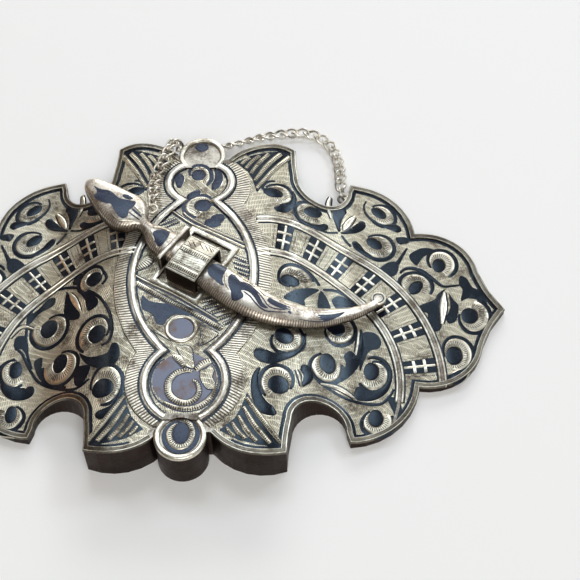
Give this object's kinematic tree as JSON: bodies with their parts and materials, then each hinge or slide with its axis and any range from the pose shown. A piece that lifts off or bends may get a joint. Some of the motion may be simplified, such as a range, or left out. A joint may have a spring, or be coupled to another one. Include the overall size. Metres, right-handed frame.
{
  "type": "sash buckle",
  "caption": "Two-part sash buckle with scalloped halves, a keeper through a slot and a sabre-shaped locking pin on a fine chain, shown fastened.",
  "frame": {"origin": "middle of the fastened buckle, on the plane of the lower edge of its rim, which lies against the sash", "axes": "+X along the buckle to the pointed end of the half that carries the medallion, +Y to the edge where the chain hangs over, +Z out of the face"},
  "size_m": [0.11, 0.0779, 0.0119],
  "materials": {
    "silver": "satin",
    "old_silver": "satin",
    "niello": "satin"
  },
  "bodies": {
    "root": {"right_plate": "silver", "left_plate": "silver", "keeper": "silver", "sabre_pin": "silver", "pin_ring": "old_silver", "chain": "old_silver", "anchor_ring": "old_silver", "right_belt_bar": "old_silver", "left_belt_bar": "old_silver"}
  },
  "joints": []
}
